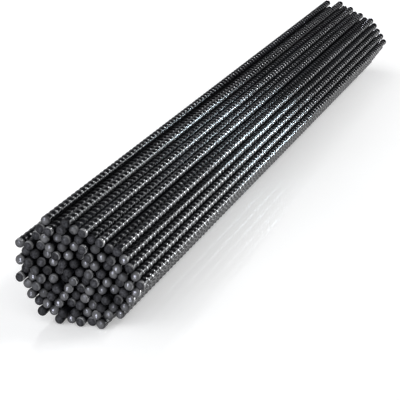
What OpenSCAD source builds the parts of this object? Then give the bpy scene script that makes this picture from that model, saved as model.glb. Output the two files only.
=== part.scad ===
// Bundle of deformed reinforcing bars, lying on its lowest layer.
// Bars run along X, stacked in layers along Z. Units are millimetres.
// Each bar is a plain round of the nominal diameter; the rolled ribs stand in the space left between bars.

/* [Bar] */
// Nominal diameter of one bar
bar_d = 10; // [8:0.5:16]
// Cut length of one bar
bar_len = 1100; // [300:10:3000]
// Radius of the rounded rim at each cut end
end_round = 3.5; // [0.5:0.25:3.75]

/* [Stack] */
// Space between neighbouring bars, taken up by their ribs
rib_room = 0.5; // [0.2:0.05:0.8]
// Most extra play between two bars of the lowest layer
floor_play = 1.5; // [0:0.1:4]
// Most that a bar on the flank slumps outward, in degrees
flank_slump = 6; // [0:1:16]
// The top layer fills every groove, or every second one
top_every = 2; // [1:1:2]

/* [Ends] */
// Most that a bar's end stands out of line, either way
end_stagger = 5; // [0:1:40]
// How far the right flank is set back behind the left
side_setback = 20; // [0:1:60]

/* [Hidden] */

$fn = 48;

// Number of bars in the lowest layer
floor_bars = 5;
// Bars that each layer above has more on its right flank, as seen looking along +X, or fewer where below zero
right_steps = [2, 1, 1, 1, 1, 0, 0, 0, 0, -1, -1, -1];
// The same for its left flank
left_steps = [2, 1, 1, 1, 1, 0, 1, 0, 1, -1, 0, 0];
// Places along the chance sequence kept for one layer
layer_stride = 29;
// Elevation at which a bar leans on a close neighbour, in degrees
lean_angle = 60;
// The golden section, which spreads the chance sequence evenly
golden = (sqrt(5) - 1) / 2;
// Dark mill scale of hot-rolled bar
bar_tone = "#2a2b2f";

// Centre distance of two bars that lie against each other
pitch = bar_d + rib_room;
last_layer = len(right_steps);

// A fixed chance value from 0 to 1 for place n of the sequence
function chance(n) = n * golden - floor(n * golden);

// Sum of the first n entries of a list
function sum_to(list, n) = n == 0 ? 0 : list[n - 1] + sum_to(list, n - 1);

// Centre of the bar that lies against the bars at a and b, on the left of the line from a to b
function nest(a, b) =
    let (half = (b - a) / 2)
    let (rise = sqrt(pitch * pitch - half * half))
    a + half + rise * [-half[1], half[0]] / norm(half);

// Bars that rest in the grooves of the layer below
function grooves(low) = [for (i = [0 : len(low) - 2]) nest(low[i], low[i + 1])];

// From one bar to the next, at an elevation in degrees
function lean(elevation) = pitch * [cos(elevation), sin(elevation)];

// How a flank bar leans: close, or slumped outward by chance
function flank_angle(n) = lean_angle - flank_slump * chance(n);

// Bars beyond the grooves on the right: one leans on the outer bar below, any others lie level beside it
function right_flank(outer, count, n) =
    [for (i = [1 : count]) outer + lean(180 - flank_angle(n)) - (count - i) * lean(0)];

// The same on the left
function left_flank(outer, count, n) =
    [for (i = [1 : count]) outer + lean(flank_angle(n)) + (i - 1) * lean(0)];

// The whole of layer k, on top of the layer below, from its right flank to its left
function layer_on(low, k) =
    let (nested = grooves(low))
    let (more_right = right_steps[k - 1])
    let (more_left = left_steps[k - 1])
    let (first = max(0, -more_right))
    let (last = len(nested) - 1 + min(0, more_left))
    let (every = k == last_layer ? top_every : 1)
    concat(
        more_right > 0 ? right_flank(low[0], more_right, 2 * k) : [],
        [for (i = [first : every : last]) nested[i]],
        more_left > 0 ? left_flank(low[len(low) - 1], more_left, 2 * k + 1) : []
    );

// The lowest layer, lying on the floor with a little play between its bars
floor_steps = [for (i = [1 : floor_bars - 1]) pitch + floor_play * chance(i)];
floor_layer = [for (i = [0 : floor_bars - 1]) [sum_to(floor_steps, i), bar_d / 2]];

// All layers up to layer k, as lists of [y, z] bar centres
function stack(k) =
    k == 0 ? [floor_layer]
    : let (below = stack(k - 1)) concat(below, [layer_on(below[k - 1], k)]);

layers = stack(last_layer);

// The widest the bar centres reach to each side
bar_sides = [for (row = layers) for (c = row) c[0]];
left_side = max(bar_sides);
right_side = min(bar_sides);

// How far bar i of layer k is pushed along the bundle
function push(k, i) =
    end_stagger * (2 * chance(layer_stride * k + i) - 1)
    + side_setback * (left_side - layers[k][i][0]) / (left_side - right_side);

// The bundle is centred over the origin
bar_pushes = [for (k = [0 : last_layer]) for (i = [0 : len(layers[k]) - 1]) push(k, i)];
mid_side = (left_side + right_side) / 2;
mid_push = (min(bar_pushes) + max(bar_pushes)) / 2;

// Half outline of a bar along its axis, with rounded rims
module bar_outline() {
    square([bar_d / 2 - end_round, bar_len]);
    translate([0, end_round]) square([bar_d / 2, bar_len - 2 * end_round]);
    for (along = [end_round, bar_len - end_round])
        translate([bar_d / 2 - end_round, along]) circle(r = end_round);
}

// One bar along X, centred on the origin
module bar() {
    translate([-bar_len / 2, 0, 0]) rotate([0, 90, 0]) rotate_extrude() intersection() {
        bar_outline();
        square([bar_d / 2, bar_len]);
    }
}

// Every bar of layer k, counted from the floor
module bar_layer(k) {
    color(bar_tone) for (i = [0 : len(layers[k]) - 1])
        translate([push(k, i) - mid_push, layers[k][i][0] - mid_side, layers[k][i][1]]) bar();
}

bar_layer(0);  // bars_layer_01
bar_layer(1);  // bars_layer_02
bar_layer(2);  // bars_layer_03
bar_layer(3);  // bars_layer_04
bar_layer(4);  // bars_layer_05
bar_layer(5);  // bars_layer_06
bar_layer(6);  // bars_layer_07
bar_layer(7);  // bars_layer_08
bar_layer(8);  // bars_layer_09
bar_layer(9);  // bars_layer_10
bar_layer(10);  // bars_layer_11
bar_layer(11);  // bars_layer_12
bar_layer(12);  // bars_layer_13
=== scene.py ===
"""Bundle of deformed reinforcing bars: ribbed bars in mill scale over the frame's plain rounds."""
import math

import bpy
import numpy as np
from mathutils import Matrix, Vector


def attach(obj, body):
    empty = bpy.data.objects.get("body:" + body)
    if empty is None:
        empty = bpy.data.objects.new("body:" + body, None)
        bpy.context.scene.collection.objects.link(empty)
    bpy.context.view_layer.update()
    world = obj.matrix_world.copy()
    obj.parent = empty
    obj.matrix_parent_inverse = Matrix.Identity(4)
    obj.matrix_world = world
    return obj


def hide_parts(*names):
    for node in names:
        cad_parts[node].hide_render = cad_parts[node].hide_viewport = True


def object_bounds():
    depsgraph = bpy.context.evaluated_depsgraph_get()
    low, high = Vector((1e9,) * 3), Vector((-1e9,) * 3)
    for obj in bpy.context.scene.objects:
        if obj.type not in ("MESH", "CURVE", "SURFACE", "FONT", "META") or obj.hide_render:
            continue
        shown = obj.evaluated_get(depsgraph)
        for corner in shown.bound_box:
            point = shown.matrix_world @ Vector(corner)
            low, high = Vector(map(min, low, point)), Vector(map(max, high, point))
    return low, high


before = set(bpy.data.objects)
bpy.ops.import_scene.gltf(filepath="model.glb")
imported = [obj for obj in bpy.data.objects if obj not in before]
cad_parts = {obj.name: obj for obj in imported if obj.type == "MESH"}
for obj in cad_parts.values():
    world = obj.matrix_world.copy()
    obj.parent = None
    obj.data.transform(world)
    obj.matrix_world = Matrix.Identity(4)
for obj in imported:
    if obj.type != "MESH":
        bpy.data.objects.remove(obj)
CAD_BOX = [list(corner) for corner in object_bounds()]
SEED = 41
rng = np.random.default_rng(SEED)

MM = 0.001
SAME_PLACE = 3         # decimals of a millimetre to which two vertices are one

# ---------------------------------------------------------------- bar shape, in millimetres
CORE_R = 4.62          # radius between the ribs
CREST_R = 5.24         # radius over the transverse ribs
LONG_RIB_R = 4.82      # radius over the two lengthwise ribs
RIB_STEP = 10.5        # spacing of the transverse ribs along the bar
RIB_BASE = 5.2         # width of a transverse rib at its foot
RIB_TOP = 0.8          # width of its crest
RIB_SLANT = 2.0        # how far a rib runs along the bar from its middle to its tip
RIB_FROM = 0.22        # sine of the angle from a lengthwise rib at which a transverse rib begins
RIB_RISE = 0.6         # change of that sine over which it rises to its full height
RIB_SWELL = 0.75       # power of the rise, below one for a round back
RIB_CLEAR = 0.4        # least space between the plain end and the first rib
RIB_PHASE = 6          # most that the first rib is set back by chance
INNER_RIBS = 6         # ribs kept at each end of a bar that the others hide
PLAIN_END = 5.3        # stretch without ribs behind each cut end
END_R = 5.10           # radius of that stretch
END_ROUND = 1.9        # radius of the rounded rim of an end
END_CROWN = 15.0       # slope of the end face where it meets the rim, in degrees
END_RIM_RINGS = 5      # rings of vertices over the rim
END_LEAN = 0.10        # how far the cut ends lean back on average, as a slope
END_TILT = 0.17        # most that chance adds to it, as a slope
END_TILT_ASIDE = 0.6   # share of that which is allowed to either side

# How finely a bar is made, and its vertices round it, in degrees from one lengthwise rib
HIDDEN, COARSE, FINE = 0, 1, 2
FINE_ROUND = [0, 11, 36, 63, 90, 117, 144, 169]
COARSE_ROUND = [0, 16, 53, 90, 127, 164]

# Places round the bundle, in degrees from its left over the top: where the top begins and the
# right flank ends, and the range within which the ribs of the bars between them face
TOP_FROM, FLANK_TO = 35, 230
FACE_UP, FACE_RIGHT = 95, 175
ROLL = 40              # most that a bar is rolled away from that by chance
MIDDLE = (CAD_BOX[0][2] + CAD_BOX[1][2]) / 2 / MM      # height of the middle of the bundle

# How much of a bar's round shows, from looks outward that also lean to both sides, in degrees
LOOKS = 48
LOOK_LEANS = [-70, -45, -20, 0, 20, 45, 70]
FINE_FROM, COARSE_FROM = 0.2, 0.02      # least share that shows of a fine and of a coarse bar

# ---------------------------------------------------------------- wear, with painted shade and a painted glint, from 0 to 1
OPEN_FROM, OPEN_RANGE = 0.2, 0.25       # the share that shows at which wear begins, and its range; recessed bars keep less worn steel, a painted shade on them
OPEN_LEAST = 0.1                        # least wear of a bar, the painted shade of the most recessed bars
LONG_RIB_WEAR = 0.1                     # on the lengthwise ribs
UNDERSIDE_WEAR = 0.1                    # least share of the wear that undersides keep
UNDERSIDE_FALL = 0.75                   # sine of the angle below level over which it falls
GLINT_EDGE_CHANCE = (-0.8, 1.2)               # range of chance for a bright edge on an end, a painted glint, cut off at 0 and 1
GLINT_EDGE_SIDE, GLINT_EDGE_SPREAD = 135, 40        # where it lies round the bar, to the upper right where it shows as a painted glint, and its spread, in degrees

# The bright edge of a cut end, a painted glint, and its bare middle, lighter as a painted
# highlight, ring by ring from its middle
GLINT_EDGE_RINGS = np.array([0, 0, 0.3, 0.9, 1, 0.8])
BARE_LIT_FACE = np.array([0.85, 0.45, 0.18, 0, 0, 0])


def read_bars(name):
    """Axis and ends of every bar of a CAD node, in millimetres, as rows (y, z, x_near, x_far)."""
    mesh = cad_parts[name].data
    co = np.zeros(len(mesh.vertices) * 3, np.float32)
    mesh.vertices.foreach_get("co", co)
    co = co.reshape(-1, 3).astype(float) / MM
    ends = np.zeros(len(mesh.edges) * 2, np.int32)
    mesh.edges.foreach_get("vertices", ends)
    keys, place = np.unique(np.round(co, SAME_PLACE), axis=0, return_inverse=True)
    links = place.reshape(-1)[ends.reshape(-1, 2)]
    # vertices that edges join get one label, so that each bar has its own
    label = np.arange(len(keys))
    while True:
        low = np.minimum(label[links[:, 0]], label[links[:, 1]])
        new = label.copy()
        np.minimum.at(new, links[:, 0], low)
        np.minimum.at(new, links[:, 1], low)
        new = new[new]
        if np.array_equal(new, label):
            break
        label = new
    rows = []
    for mark in np.unique(label):
        own = keys[label == mark]
        low, high = own.min(axis=0), own.max(axis=0)
        rows.append((*(low + high)[1:] / 2, low[0], high[0]))
    return rows


def exposure(axes):
    """Share of each bar's round that can be seen from outside the bundle."""
    shares = []
    for i, axis in enumerate(axes):
        others = np.delete(axes, i, axis=0)
        seen = 0
        for turn in np.linspace(0, 2 * math.pi, LOOKS, endpoint=False):
            to = others - (axis + CREST_R * np.array([math.cos(turn), math.sin(turn)]))
            for lean in np.radians(LOOK_LEANS):
                way = np.array([math.cos(turn + lean), math.sin(turn + lean)])
                along = to @ way
                off = np.abs(to[:, 0] * way[1] - to[:, 1] * way[0])
                if not np.any((along > 0) & (off < CREST_R)):
                    seen += 1
                    break
        shares.append(seen / LOOKS)
    return np.array(shares)


def bar_mesh(bar, fineness):
    """One closed ribbed bar: vertices in mm, quads, triangles, and four values for each vertex.

    The values are the wear of the rib or the painted glint of a bright edge, 1 on a cut end, the
    bareness of its middle with a painted highlight, and the number of the rib's ring.
    """
    y, z, near, far = bar
    length = far - near
    half = np.radians(FINE_ROUND if fineness == FINE else COARSE_ROUND)
    around = np.concatenate([half, half + math.pi])
    n = len(around)
    # the ribbed sides of a bar face more or less outward, and up or to the right over the top and
    # the right flank
    outward = math.degrees(math.atan2(z - MIDDLE, y)) % 360
    if TOP_FROM < outward < FLANK_TO:
        outward = min(max(outward, FACE_UP), FACE_RIGHT)
    roll = math.radians(outward + rng.uniform(-ROLL, ROLL) - 90)
    turn = around + roll
    phase = rng.uniform(0, RIB_PHASE)
    crescent = np.clip((np.abs(np.sin(around)) - RIB_FROM) / RIB_RISE, 0, 1) ** RIB_SWELL
    on_long_rib = np.zeros(n)
    on_long_rib[[0, len(half)]] = 1
    # undersides keep less of the worn steel, so each bar is darker underneath
    less_underneath = np.clip((np.sin(turn) + UNDERSIDE_FALL) / UNDERSIDE_FALL, UNDERSIDE_WEAR, 1)
    foot = CORE_R + (LONG_RIB_R - CORE_R) * on_long_rib
    crest = foot + (CREST_R - foot) * crescent * (1 - on_long_rib)

    # the ends, ring by ring: one halfway over the crowned face, at a quarter of its rise, and the
    # rest over the rim to the full radius
    crown = math.radians(END_CROWN)
    arc = np.linspace(crown, math.pi / 2, END_RIM_RINGS)
    face_r = END_R - END_ROUND * (1 - math.sin(crown))
    face_along = face_r * math.tan(crown / 2)
    rim_along = face_along + END_ROUND * (math.cos(crown) - np.cos(arc))
    end_along = np.concatenate([[face_along / 4], rim_along])
    end_r = np.concatenate([[face_r / 2], END_R - END_ROUND * (1 - np.sin(arc))])

    rings, radii, slants, ribs, cuts, bare_lit_rings, numbers = [], [], [], [], [], [], []

    def ring(along, radius, slant=0.0, rib=0.0, cut=0.0, bare_lit_middle=0.0, number=0):
        rings.append(along)
        radii.append(np.broadcast_to(radius, (n,)).copy())
        slants.append(slant)
        ribs.append(np.broadcast_to(rib, (n,)).copy())
        cuts.append(cut)
        bare_lit_rings.append(bare_lit_middle)
        numbers.append(number)

    # some ends get a bright metal edge on the upper right of the rim, a painted glint
    glint_edge_amount = np.clip(rng.uniform(*GLINT_EDGE_CHANCE), 0, 1)
    glint_edge_turn = math.radians(GLINT_EDGE_SIDE + rng.uniform(-GLINT_EDGE_SPREAD, GLINT_EDGE_SPREAD))
    edge = np.clip(np.cos(turn - glint_edge_turn), 0, 1) * glint_edge_amount
    # the middle of each end face is marked bare, for a painted highlight there and painted shade
    # at its rim
    for k in range(len(end_r)):
        ring(end_along[k], end_r[k], rib=GLINT_EDGE_RINGS[k] * edge, cut=1.0, bare_lit_middle=BARE_LIT_FACE[k])
    ring(PLAIN_END, END_R)
    first = PLAIN_END + RIB_BASE / 2 + RIB_SLANT + RIB_CLEAR + phase
    count = int((length - 2 * first + phase) // RIB_STEP) + 1
    tops = [-RIB_TOP / 2, RIB_TOP / 2] if fineness == FINE else [0]
    shape = [(-RIB_BASE / 2, foot, 0), *((top, crest, 1) for top in tops), (RIB_BASE / 2, foot, 0)]
    for i in range(count):
        if fineness == HIDDEN and INNER_RIBS <= i < count - INNER_RIBS:
            continue
        mid = first + i * RIB_STEP
        for step, radius, up in shape:
            worn = np.maximum(up * crescent, on_long_rib * LONG_RIB_WEAR) * less_underneath
            ring(mid + step, radius, slant=1.0, rib=worn, number=len(rings) + 1)
    ring(length - PLAIN_END, END_R)
    for k in reversed(range(len(end_r))):
        ring(length - end_along[k], end_r[k], rib=GLINT_EDGE_RINGS[k] * edge, cut=1.0, bare_lit_middle=BARE_LIT_FACE[k])

    m = len(rings)
    along = np.repeat(np.array(rings)[:, None], n, axis=1)
    along -= np.array(slants)[:, None] * RIB_SLANT * np.cos(around)[None, :]
    radius = np.array(radii)
    local_y, local_z = radius * np.cos(turn), radius * np.sin(turn)
    # each cut end is tilted in its own way, and set in so that it stays within the bar's length
    lean = rng.uniform(-END_TILT, END_TILT, (2, 2)) * [END_TILT_ASIDE, 1.0] + [0.0, END_LEAN]
    set_in = np.hypot(lean[:, 0], lean[:, 1]) * END_R
    on_cap = np.array(cuts)[:, None]
    near_cap = on_cap * (along < length / 2)
    far_cap = on_cap * (along > length / 2)
    along += near_cap * (lean[0, 0] * local_y + lean[0, 1] * local_z + set_in[0])
    along -= far_cap * (lean[1, 0] * local_y + lean[1, 1] * local_z + set_in[1])
    verts = np.stack([near + along, y + local_y, z + local_z], axis=-1).reshape(-1, 3)
    poles = np.array([[near + set_in[0], y, z], [far - set_in[1], y, z]])

    i = np.arange(n)
    j = np.roll(i, -1)
    row = np.arange(m - 1)[:, None] * n
    a, b = (row + i).reshape(-1), (row + j).reshape(-1)
    quads = np.stack([a, b, b + n, a + n], axis=-1)
    fan_near = np.stack([np.full(n, m * n), j, i], axis=-1)
    fan_far = np.stack([np.full(n, m * n + 1), (m - 1) * n + i, (m - 1) * n + j], axis=-1)
    values = {
        "rib": np.concatenate([np.array(ribs).reshape(-1), [0, 0]]),
        "cut": np.concatenate([np.repeat(cuts, n), [1, 1]]),
        "bare_lit_middle": np.concatenate([np.repeat(bare_lit_rings, n), [1, 1]]),
        "number": np.concatenate([np.repeat(numbers, n), [0, 0]]),
    }
    return np.concatenate([verts, poles]), quads, np.concatenate([fan_near, fan_far]), values


def joined_bars(name, bars, fineness, shown, material):
    """All bars of one layer as one mesh object."""
    verts, quads, tris, numbers = [], [], [], []
    paint = {"rib": [], "cut": [], "bare_lit_middle": [], "tone": [], "open": []}
    base = 0
    for bar, fine, share in zip(bars, fineness, shown):
        v, q, t, values = bar_mesh(bar, fine)
        verts.append(v)
        quads.append(q + base)
        tris.append(t + base)
        number = values.pop("number")
        numbers.append(np.where(number > 0, number + base, 0))
        # recessed bars get less worn steel, a painted shade on them
        open_and_lit = np.clip((share - OPEN_FROM) / OPEN_RANGE, OPEN_LEAST, 1)
        values["tone"] = np.full(len(v), rng.uniform(0, 1))
        values["open"] = np.full(len(v), open_and_lit)
        for label, value in values.items():
            paint[label].append(value)
        base += len(v)
    verts, quads, tris = np.concatenate(verts) * MM, np.concatenate(quads), np.concatenate(tris)
    mesh = bpy.data.meshes.new(name)
    loops = np.concatenate([quads.reshape(-1), tris.reshape(-1)]).astype(np.int32)
    starts = np.concatenate([np.arange(len(quads)) * 4, len(quads) * 4 + np.arange(len(tris)) * 3])
    mesh.vertices.add(len(verts))
    mesh.vertices.foreach_set("co", verts.astype(np.float32).reshape(-1))
    mesh.loops.add(len(loops))
    mesh.loops.foreach_set("vertex_index", loops)
    mesh.polygons.add(len(starts))
    mesh.polygons.foreach_set("loop_start", starts.astype(np.int32))
    mesh.polygons.foreach_set("use_smooth", np.ones(len(starts), bool))
    for label, values in paint.items():
        layer = mesh.attributes.new(label, "FLOAT", "POINT")
        layer.data.foreach_set("value", np.concatenate(values).astype(np.float32))
    mesh.update(calc_edges=True)
    mesh.validate()
    # the feet and crests of the ribs are sharp edges, round the bar
    edges = np.zeros(len(mesh.edges) * 2, np.int32)
    mesh.edges.foreach_get("vertices", edges)
    rings = np.concatenate(numbers)[edges.reshape(-1, 2)]
    sharp = (rings[:, 0] > 0) & (rings[:, 0] == rings[:, 1])
    mesh.attributes.new("sharp_edge", "BOOLEAN", "EDGE").data.foreach_set("value", sharp)
    obj = bpy.data.objects.new(name, mesh)
    bpy.context.scene.collection.objects.link(obj)
    mesh.materials.append(material)
    return obj


# ---------------------------------------------------------------- shader nodes
MIX_A, MIX_B, MIX_RESULT = 6, 7, 2      # colour sockets of a mix node
NOISE_ROUGHNESS = 0.55
NOISE_RANGE = (0.3, 0.7)                # between these a noise's values are spread
WHOLE = (0.0, 1.0)


def new_material(name):
    mat = bpy.data.materials.new(name)
    mat.use_nodes = True
    tree = mat.node_tree
    tree.nodes.clear()
    out = tree.nodes.new("ShaderNodeOutputMaterial")
    shader = tree.nodes.new("ShaderNodeBsdfPrincipled")
    tree.links.new(shader.outputs["BSDF"], out.inputs["Surface"])
    return mat, tree, shader, out


def node(tree, kind, **values):
    made = tree.nodes.new(kind)
    for key, value in values.items():
        setattr(made, key, value)
    return made


def feed(tree, socket, value):
    """Links another node's output to a socket, or sets the socket to a constant."""
    if hasattr(value, "is_output"):
        tree.links.new(value, socket)
    else:
        socket.default_value = value


def attribute(tree, name):
    return node(tree, "ShaderNodeAttribute", attribute_name=name).outputs["Fac"]


def ramp(tree, source, places, colours):
    made = tree.nodes.new("ShaderNodeValToRGB")
    tree.links.new(source, made.inputs["Fac"])
    elements = made.color_ramp.elements
    for place in places[1:-1]:
        elements.new(place)
    for element, place, colour in zip(elements, places, colours):
        element.position = place
        element.color = (*colour, 1.0)
    return made.outputs["Color"]


def greys(tree, source, places, levels):
    return ramp(tree, source, places, [(level, level, level) for level in levels])


def noise(tree, vector, scale, detail):
    made = tree.nodes.new("ShaderNodeTexNoise")
    made.inputs["Scale"].default_value = scale
    made.inputs["Detail"].default_value = detail
    made.inputs["Roughness"].default_value = NOISE_ROUGHNESS
    tree.links.new(vector, made.inputs["Vector"])
    return made.outputs["Fac"]


def mix(tree, kind, factor, a, b):
    made = node(tree, "ShaderNodeMix", data_type="RGBA", blend_type=kind)
    feed(tree, made.inputs["Factor"], factor)
    feed(tree, made.inputs[MIX_A], a)
    feed(tree, made.inputs[MIX_B], b)
    return made.outputs[MIX_RESULT]


def math_node(tree, kind, a, b=0.0):
    made = node(tree, "ShaderNodeMath", operation=kind)
    feed(tree, made.inputs[0], a)
    feed(tree, made.inputs[1], b)
    return made.outputs[0]


def facing(tree, vector, direction):
    """How far a vector points along a direction."""
    made = node(tree, "ShaderNodeVectorMath", operation="DOT_PRODUCT")
    tree.links.new(vector, made.inputs[0])
    made.inputs[1].default_value = direction
    return made.outputs["Value"]


def map_range(tree, value, source, result, **values):
    made = node(tree, "ShaderNodeMapRange", **values)
    for socket, number in zip(("From Min", "From Max", "To Min", "To Max"), (*source, *result)):
        made.inputs[socket].default_value = number
    tree.links.new(value, made.inputs["Value"])
    return made.outputs["Result"]


# ---------------------------------------------------------------- the bars
# Mill scale, in patches drawn out along the bar, with a fine grain
PATCH_STRETCH = (0.12, 1.0, 1.0)
PATCH_SCALE, PATCH_DETAIL = 55.0, 4.0
PATCH_RANGE = (0.30, 0.52, 0.72)
SCALE_COLOURS = ((0.0045, 0.0045, 0.0055), (0.0085, 0.0088, 0.0105), (0.013, 0.014, 0.018))
SCALE_SPECULAR = 0.06
BAR_TONES = (0.75, 1.25)                # darkest and lightest bar, as a factor
GRAIN_SCALE, GRAIN_DETAIL = 900.0, 3.0
GRAIN_ROUGHNESS = (0.15, 0.25)
GRAIN_STRENGTH, GRAIN_HEIGHT = 0.25, 0.0002

# Steel where the scale is rubbed off the ribs, in spots, with less on recessed bars as painted
# shade
SPOT_SCALE, SPOT_DETAIL = 260.0, 3.0
SPOT_RANGE = (0.35, 0.65)
SPOT_WEAR = (0.45, 1.0)
WORN_STEEL = (0.265, 0.267, 0.275, 1.0)
WORN_ROUGHNESS = (0.20, 0.20, 0.20, 1.0)

# Cut ends, from dull to shiny bars, lighter in the middle as a painted highlight, and their bright
# edges painted as glints
CUT_SCALE, CUT_DETAIL = 420.0, 4.0
CUT_COLOURS = ((0.020, 0.020, 0.023), (0.11, 0.11, 0.12))
CUT_TONES = (0.5, 1.0)                  # darkest and lightest bar, as a factor
CUT_BARE_AND_LIT = (0.38, 1.0)              # dark rim and bare middle, as a factor: painted shade at the rim, painted highlight in the middle
SHINE_SHUFFLE = 7.0                     # turns a bar's tone into another chance value
SHINE_RANGE = (0.35, 0.8)               # that value for a dull and for a shiny end
SHINY_CUT = (0.17, 0.17, 0.177, 1.0)
SHINY_METAL = 0.6
# bright steel on the upper right of some rims, a painted glint
GLINT_EDGE_STEEL = (0.55, 0.55, 0.56, 1.0)


def mill_scale():
    mat, tree, shader, _ = new_material("mill_scale_steel")
    where = node(tree, "ShaderNodeTexCoord").outputs["Object"]
    stretch = node(tree, "ShaderNodeMapping")
    stretch.inputs["Scale"].default_value = PATCH_STRETCH
    tree.links.new(where, stretch.inputs["Vector"])
    rib, cut, bare_lit_middle = attribute(tree, "rib"), attribute(tree, "cut"), attribute(tree, "bare_lit_middle")
    tone, open_and_lit = attribute(tree, "tone"), attribute(tree, "open")

    patches = noise(tree, stretch.outputs["Vector"], PATCH_SCALE, PATCH_DETAIL)
    scale = ramp(tree, patches, PATCH_RANGE, SCALE_COLOURS)
    colour = mix(tree, "MULTIPLY", 1.0, scale, greys(tree, tone, WHOLE, BAR_TONES))

    # worn steel on the ribs, less on recessed bars as painted shade; on the cut ends it is the
    # painted glint of the bright edge
    rubbed_shade_glint = math_node(tree, "MULTIPLY", rib, math_node(tree, "MAXIMUM", open_and_lit, cut))
    spots = greys(tree, noise(tree, where, SPOT_SCALE, SPOT_DETAIL), SPOT_RANGE, SPOT_WEAR)
    wear_shade_glint = math_node(tree, "MULTIPLY", rubbed_shade_glint, spots)

    face = ramp(tree, noise(tree, where, CUT_SCALE, CUT_DETAIL), NOISE_RANGE, CUT_COLOURS)
    face = mix(tree, "MULTIPLY", 1.0, face, greys(tree, tone, WHOLE, CUT_TONES))
    shuffled = math_node(tree, "FRACT", math_node(tree, "MULTIPLY", tone, SHINE_SHUFFLE))
    shine = greys(tree, shuffled, SHINE_RANGE, WHOLE)
    face = mix(tree, "MIX", shine, face, SHINY_CUT)
    # ends lighter in the middle and darker at the rim: a painted highlight and painted shade
    face = mix(tree, "MULTIPLY", 1.0, face, greys(tree, bare_lit_middle, WHOLE, CUT_BARE_AND_LIT))
    colour = mix(tree, "MIX", cut, colour, face)
    colour = mix(tree, "MIX", wear_shade_glint, colour, WORN_STEEL)
    # the bright edge of the cut ends, a painted glint
    edge = math_node(tree, "MULTIPLY", rib, cut)
    colour = mix(tree, "MIX", edge, colour, GLINT_EDGE_STEEL)
    tree.links.new(colour, shader.inputs["Base Color"])

    grain = noise(tree, where, GRAIN_SCALE, GRAIN_DETAIL)
    rough = greys(tree, grain, NOISE_RANGE, GRAIN_ROUGHNESS)
    rough = mix(tree, "MIX", wear_shade_glint, rough, WORN_ROUGHNESS)
    tree.links.new(rough, shader.inputs["Roughness"])
    # shiny ends are metal only in their middle, a painted highlight
    shiny = math_node(tree, "MULTIPLY", math_node(tree, "MULTIPLY", cut, bare_lit_middle), shine)
    metal = math_node(tree, "MAXIMUM", wear_shade_glint, math_node(tree, "MULTIPLY", shiny, SHINY_METAL))
    metal = math_node(tree, "MAXIMUM", metal, edge)
    tree.links.new(metal, shader.inputs["Metallic"])
    shader.inputs["Specular IOR Level"].default_value = SCALE_SPECULAR

    bump = node(tree, "ShaderNodeBump")
    bump.inputs["Strength"].default_value = GRAIN_STRENGTH
    bump.inputs["Distance"].default_value = GRAIN_HEIGHT
    tree.links.new(grain, bump.inputs["Height"])
    tree.links.new(bump.outputs["Normal"], shader.inputs["Normal"])
    return mat


layers = {name: read_bars(name) for name in sorted(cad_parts)}
shares = exposure(np.array([bar[:2] for bars in layers.values() for bar in bars]))
grades = np.where(shares > FINE_FROM, FINE, np.where(shares > COARSE_FROM, COARSE, HIDDEN))
steel = mill_scale()
at = 0
for name, bars in layers.items():
    own = slice(at, at + len(bars))
    piece = joined_bars("ribbed_" + name, bars, grades[own], shares[own], steel)
    at += len(bars)
    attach(piece, "root")
    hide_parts(name)

# ---------------------------------------------------------------- the floor
FLOOR_Z = -0.00024                  # just under the ribs of the lowest bars
FLOOR_SIDE = 60.0
FLOOR_SCALE, FLOOR_DETAIL = 3.0, 2.0
FLOOR_TONES = (0.93, 0.95)
FLOOR_ROUGHNESS = 0.08
FLOOR_SPECULAR = 0.6
FLOOR_FALL = (0.104, 0.071, 0.0)    # how the lamplight falls off over it
FLOOR_SPAN = (-0.12, 0.12)          # range of that fall
FLOOR_OWN = (0.25, 0.49)            # its own whiteness there, more where less lamplight falls


def floor_paint():
    """Pale floor that keeps the shadow. Part of its whiteness is its own to the camera and in
    reflections.
    """
    mat, tree, shader, out = new_material("pale_floor")
    where = node(tree, "ShaderNodeTexCoord").outputs["Object"]
    cloud = noise(tree, where, FLOOR_SCALE, FLOOR_DETAIL)
    tree.links.new(greys(tree, cloud, NOISE_RANGE, FLOOR_TONES), shader.inputs["Base Color"])
    shader.inputs["Roughness"].default_value = FLOOR_ROUGHNESS
    shader.inputs["Specular IOR Level"].default_value = FLOOR_SPECULAR
    path = node(tree, "ShaderNodeLightPath").outputs
    seen = math_node(tree, "MAXIMUM", path["Is Camera Ray"], path["Is Glossy Ray"])
    seen = math_node(tree, "MAXIMUM", seen, path["Is Transmission Ray"])
    level = map_range(tree, facing(tree, where, FLOOR_FALL), FLOOR_SPAN, FLOOR_OWN)
    own = node(tree, "ShaderNodeEmission")
    tree.links.new(math_node(tree, "MULTIPLY", seen, level), own.inputs["Strength"])
    blend = node(tree, "ShaderNodeAddShader")
    tree.links.new(shader.outputs["BSDF"], blend.inputs[0])
    tree.links.new(own.outputs["Emission"], blend.inputs[1])
    tree.links.new(blend.outputs["Shader"], out.inputs["Surface"])
    return mat


floor_mesh = bpy.data.meshes.new("floor")
s = FLOOR_SIDE / 2
corners = [(-s, -s, FLOOR_Z), (s, -s, FLOOR_Z), (s, s, FLOOR_Z), (-s, s, FLOOR_Z)]
floor_mesh.from_pydata(corners, [], [(0, 1, 2, 3)])
floor = bpy.data.objects.new("floor", floor_mesh)
bpy.context.scene.collection.objects.link(floor)
floor_mesh.materials.append(floor_paint())

# ---------------------------------------------------------------- lamps
WHITE = (1, 1, 1)
COOL = (0.84, 0.86, 1.0)
PALE = (0.95, 0.98, 1.0)
BLUISH = (0.74, 0.90, 1.0)
MID_BUNDLE = (0, 0, 0.06)
NEAR_END = (-0.55, 0, 0.06)
FAR_END = (0.55, 0, 0.06)
NEAR_FLANK = (-0.42, -0.05, 0.06)
SMALL_BOX = (0.3, 0.3)

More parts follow.
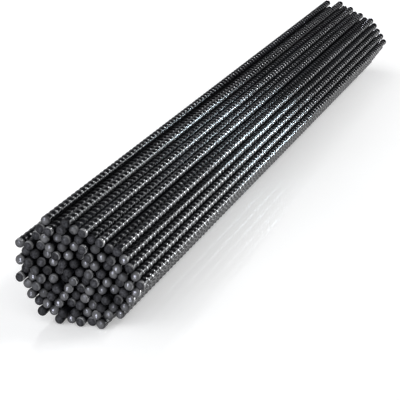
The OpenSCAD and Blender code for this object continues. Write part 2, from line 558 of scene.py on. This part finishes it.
# A band of gloss across the bundle comes from narrow lamps on an arc beyond its far end, each
# with its rise on the arc, in degrees, and its power
BAND_AT = (-0.115, -0.03, 0.07)
BAND_LAMPS = ((0, 0.0095), (18, 0.0115), (36, 0.005), (56, 0.0004))
BAND_X = 1.02
BAND_ARC = 0.55
BAND_BOX = (0.1, 0.1)
BAND_SPREAD = 6


def softbox(name, place, target, size, power, colour=WHITE, spread=180):
    lamp = bpy.data.lights.new(name, "AREA")
    lamp.shape = "RECTANGLE"
    lamp.size, lamp.size_y = size
    lamp.energy = power
    lamp.color = colour
    lamp.spread = math.radians(spread)
    obj = bpy.data.objects.new(name, lamp)
    obj.location = place
    obj.rotation_euler = (Vector(target) - Vector(place)).to_track_quat("-Z", "Y").to_euler()
    obj.visible_camera = False
    bpy.context.scene.collection.objects.link(obj)


softbox("front", (-2.7, 0.75, 0.3), NEAR_END, SMALL_BOX, power=11, colour=COOL)
for rise, power in BAND_LAMPS:
    lean = math.radians(rise)
    across, up = BAND_ARC * math.cos(lean), BAND_ARC * math.sin(lean)
    place = (BAND_X, BAND_AT[1] - across, BAND_AT[2] + up)
    softbox("far_right", place, BAND_AT, BAND_BOX, power, BLUISH, BAND_SPREAD)
softbox("near_right", (0.55, -0.58, 0.18), NEAR_FLANK, SMALL_BOX, 0.085, PALE, spread=16)
softbox("right_wall", (2.8, -4.7, 0.9), MID_BUNDLE, size=(3.0, 0.9), power=110)
softbox("right_upper", (5.5, -5.7, 7.6), MID_BUNDLE, size=(4.0, 1.0), power=370)
softbox("back", (2.7, 0.45, 0.05), FAR_END, SMALL_BOX, power=9, colour=COOL)

# ---------------------------------------------------------------- the room
# A dim room with soft panels: direction, the cosines between which one fades in, and strength
ROOM = 0.015
ROOM_COLOUR = (0.98, 0.99, 1.0, 1.0)
PANELS = (
    ((-0.72, -0.10, 0.68), (0.60, 0.94), 1.25),        # large, above the near end
    ((0.0, 0.95, 0.31), (0.35, 0.95), 1.2),            # wide, on the left
    ((0.826, 0.334, 0.454), (0.982, 0.996), 0.45),     # small, beyond the far end
)

world = bpy.data.worlds.new("studio")
bpy.context.scene.world = world
world.use_nodes = True
sky = world.node_tree
way = sky.nodes.new("ShaderNodeTexCoord").outputs["Generated"]
light = ROOM
for direction, fade, strength in PANELS:
    toward = facing(sky, way, Vector(direction).normalized())
    panel = map_range(sky, toward, fade, (0.0, strength), interpolation_type="SMOOTHSTEP")
    light = math_node(sky, "ADD", panel, light)
background = sky.nodes["Background"]
background.inputs["Color"].default_value = ROOM_COLOUR
sky.links.new(light, background.inputs["Strength"])

# ---------------------------------------------------------------- the camera
# The camera of the photograph, fitted to the bundle's outline
IMAGE_SIDE = 400                    # pixels
FOCAL = 1400.0                      # pixels
SENSOR = 36.0                       # millimetres
CAMERA_PLACE = (-1.72767, -0.55299, 0.61030)
CAMERA_YAW = 0.34457
CAMERA_PITCH = 0.35014
CAMERA_REACH = 50.0

lens = bpy.data.cameras.new("camera")
lens.sensor_fit = "HORIZONTAL"
lens.sensor_width = SENSOR
lens.lens = FOCAL * SENSOR / IMAGE_SIDE
lens.clip_end = CAMERA_REACH
camera = bpy.data.objects.new("camera", lens)
look = Vector((
    math.cos(CAMERA_YAW) * math.cos(CAMERA_PITCH),
    math.sin(CAMERA_YAW) * math.cos(CAMERA_PITCH),
    -math.sin(CAMERA_PITCH),
))
camera.location = CAMERA_PLACE
camera.rotation_euler = look.to_track_quat("-Z", "Y").to_euler()
bpy.context.scene.collection.objects.link(camera)
bpy.context.scene.camera = camera

bpy.context.scene.view_settings.view_transform = "Standard"
